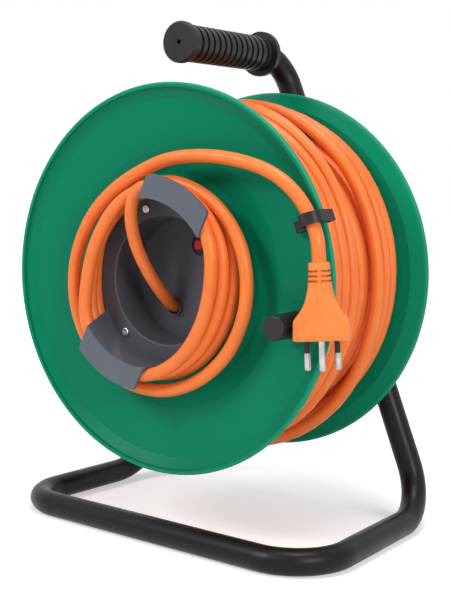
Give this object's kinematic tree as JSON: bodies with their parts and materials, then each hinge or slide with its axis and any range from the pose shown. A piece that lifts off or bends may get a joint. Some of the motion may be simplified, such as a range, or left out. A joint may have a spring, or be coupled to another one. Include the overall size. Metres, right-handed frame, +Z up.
{
  "type": "extension cord reel",
  "caption": "Free-standing extension cord reel: a flanged drum that turns on a bent tube stand with a handle grip, its plug lead stowed round a horned hub.",
  "frame": {"origin": "on the floor, below the middle of the stand's footprint", "axes": "+Z up; the drum's lead side and the handle grip's free end face -Y; +X is to the right seen from the front"},
  "size_m": [0.2937, 0.1824, 0.3615],
  "materials": {
    "flange_plastic": "satin moulded green plastic",
    "hub_plastic": "satin moulded grey plastic",
    "black_plastic": "satin black plastic",
    "bearing_plastic": "smooth natural plastic",
    "terminal_plastic": "smooth off-white plastic",
    "button_plastic": "glossy red plastic",
    "sleeve_plastic": "glossy black plastic",
    "tube_paint": "semi-gloss black powder coat on steel",
    "cable_jacket": "satin orange cable jacket",
    "plug_rubber": "satin orange moulded rubber",
    "zinc_steel": "bright zinc-plated steel",
    "nickel_brass": "polished nickel-plated brass"
  },
  "bodies": {
    "stand": {"stand_tube": "tube_paint", "handle_grip": "black_plastic", "tube_cap": "black_plastic", "axle_plate": "tube_paint", "axle": "zinc_steel", "axle_spacer": "zinc_steel", "nut_washer": "zinc_steel", "axle_nut": "zinc_steel", "axle_washer": "zinc_steel", "axle_clip": "zinc_steel"},
    "drum": {"rear_flange": "flange_plastic", "drum_barrel": "flange_plastic", "front_flange": "flange_plastic", "bearing_plate": "flange_plastic", "tie_screws": "zinc_steel", "rear_bush": "bearing_plastic", "front_bush": "bearing_plastic", "barrel_grommet": "black_plastic", "terminal_block": "terminal_plastic", "hub_insert": "hub_plastic", "hub_screws": "zinc_steel", "lead_gland": "black_plastic", "cutout_housing": "black_plastic", "cutout_blades": "nickel_brass", "reset_spring": "zinc_steel", "knob_pin": "zinc_steel", "cable_clip": "black_plastic", "lead_inner": "cable_jacket", "lead_coil": "cable_jacket", "lead_outer": "cable_jacket", "plug_body": "plug_rubber", "line_prongs": "nickel_brass", "prong_sleeves": "sleeve_plastic", "earth_prong": "nickel_brass", "winding": "cable_jacket", "winding_inlet": "cable_jacket", "winding_tail": "cable_jacket", "coupler_body": "plug_rubber", "coupler_contacts": "nickel_brass"},
    "crank_knob": {"crank_knob": "black_plastic"},
    "reset_button": {"reset_button": "button_plastic"}
  },
  "joints": [
    {"name": "drum_spin", "type": "hinge", "parent": "stand", "child": "drum", "pos_m": [0, 0.00419, 0.182], "axis": [0, 1, 0], "continuous": true},
    {"name": "knob_spin", "type": "hinge", "parent": "drum", "child": "crank_knob", "pos_m": [0.10478, -0.07281, 0.15935], "axis": [0, 1, 0], "continuous": true},
    {"name": "button_press", "type": "slide", "parent": "drum", "child": "reset_button", "axis": [0, 1, 0], "range_m": [0, 0.0025], "stiffness_N_per_m": 400, "springref_m": -0.003, "deforming": ["reset_spring"]}
  ]
}
